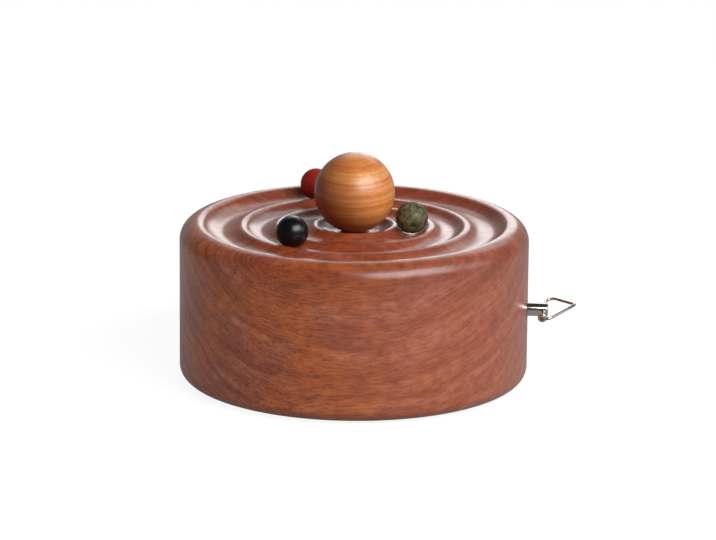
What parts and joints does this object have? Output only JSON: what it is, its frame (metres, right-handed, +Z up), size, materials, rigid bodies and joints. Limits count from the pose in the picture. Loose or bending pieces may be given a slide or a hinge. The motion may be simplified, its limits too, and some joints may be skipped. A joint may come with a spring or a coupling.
{
  "type": "music box",
  "caption": "Round turned wooden music box with a central ball, small balls orbiting in ring grooves on its top, and a wind-up key with a wire bail at the side.",
  "frame": {"origin": "on the case's axis, at the face that the felt pad rests on", "axes": "+Z up along the case's axis, +X towards the winding key"},
  "size_m": [0.148, 0.13, 0.0861],
  "materials": {
    "case_wood": "satin reddish hardwood",
    "sun_wood": "satin lighter hardwood",
    "red_wood": "satin red-brown hardwood",
    "green_wood": "satin grey-green stained wood",
    "black_wood": "gloss black wood",
    "plain_wood": "bare wood",
    "felt": "felt",
    "nickel": "polished nickel",
    "magnet": "nickel plate",
    "brass": "machined",
    "zinc": "die cast",
    "steel": "bright",
    "carrier_plastic": "moulded"
  },
  "bodies": {
    "case": {"base_plate": "plain_wood", "base_screw_1": "steel", "base_screw_2": "steel", "base_screw_3": "steel", "base_screw_4": "steel", "case_body": "case_wood", "comb": "steel", "comb_screw_1": "steel", "comb_screw_2": "steel", "felt_pad": "felt", "frame_screw_1": "steel", "frame_screw_2": "steel", "frame_screw_3": "steel", "frame_screw_4": "steel", "governor_frame": "brass", "governor_screw_1": "steel", "governor_screw_2": "steel", "movement_board": "plain_wood", "movement_frame": "zinc", "plank_screw_1": "steel", "plank_screw_2": "steel", "screw_block_1": "plain_wood", "screw_block_2": "plain_wood", "screw_block_3": "plain_wood", "screw_block_4": "plain_wood", "sun_ball": "sun_wood", "sun_dowel": "plain_wood"},
    "key": {"key_stem": "nickel", "winding_arbor": "steel", "arbor_collar": "brass"},
    "bail": {"key_bail": "nickel"},
    "barrel": {"spring_barrel": "brass", "barrel_cap": "brass", "mainspring": "steel"},
    "drum": {"drum_shaft": "steel", "drum": "brass", "drum_pinion": "brass", "drum_wheel": "brass", "magnet_carrier": "carrier_plastic", "inner_carrier_magnet": "magnet", "middle_carrier_magnet": "magnet", "outer_carrier_magnet": "magnet"},
    "governor_wheel": {"governor_gear": "brass"},
    "governor_brake": {"governor_fan": "steel"},
    "inner_planet": {"inner_ball": "green_wood", "inner_ball_magnet": "magnet"},
    "outer_planet": {"outer_ball": "red_wood", "outer_ball_magnet": "magnet"},
    "middle_planet": {"middle_ball": "black_wood", "middle_ball_magnet": "magnet"}
  },
  "joints": [
    {"name": "key_wind", "type": "hinge", "parent": "case", "child": "key", "pos_m": [0.065, 0, 0.0286], "axis": [-1, 0, 0], "range_deg": [0, 1980]},
    {"name": "bail_swing", "type": "hinge", "parent": "key", "child": "bail", "pos_m": [0.0712, 0, 0.0286], "axis": [0, -0.9994, -0.0349], "range_deg": [-127, 103]},
    {"name": "drum_spin", "type": "hinge", "parent": "case", "child": "drum", "pos_m": [0, 0, 0.04], "axis": [0, 0, 1], "continuous": true},
    {"name": "barrel_spin", "type": "hinge", "parent": "case", "child": "barrel", "pos_m": [0.014, 0, 0.0286], "axis": [1, 0, 0], "continuous": true},
    {"name": "governor_wheel_spin", "type": "hinge", "parent": "case", "child": "governor_wheel", "pos_m": [-0.0055, 0.00953, 0.014], "axis": [0, 0, 1], "continuous": true},
    {"name": "governor_brake_spin", "type": "hinge", "parent": "case", "child": "governor_brake", "pos_m": [0, 0.01573, 0.0175], "axis": [1, 0, 0], "continuous": true},
    {"name": "inner_orbit", "type": "hinge", "parent": "case", "child": "inner_planet", "pos_m": [0, 0, 0.062], "axis": [0, 0, 1], "continuous": true},
    {"name": "outer_orbit", "type": "hinge", "parent": "case", "child": "outer_planet", "pos_m": [0, 0, 0.062], "axis": [0, 0, 1], "continuous": true},
    {"name": "middle_orbit", "type": "hinge", "parent": "case", "child": "middle_planet", "pos_m": [0, 0, 0.062], "axis": [0, 0, 1], "continuous": true}
  ],
  "couplings": [
    {"joint": "barrel_spin", "follows": "drum_spin", "ratio": -0.47059},
    {"joint": "governor_wheel_spin", "follows": "drum_spin", "ratio": -4.5},
    {"joint": "governor_brake_spin", "follows": "drum_spin", "ratio": -90},
    {"joint": "inner_orbit", "follows": "drum_spin", "ratio": 1},
    {"joint": "outer_orbit", "follows": "drum_spin", "ratio": 1},
    {"joint": "middle_orbit", "follows": "drum_spin", "ratio": 1}
  ]
}
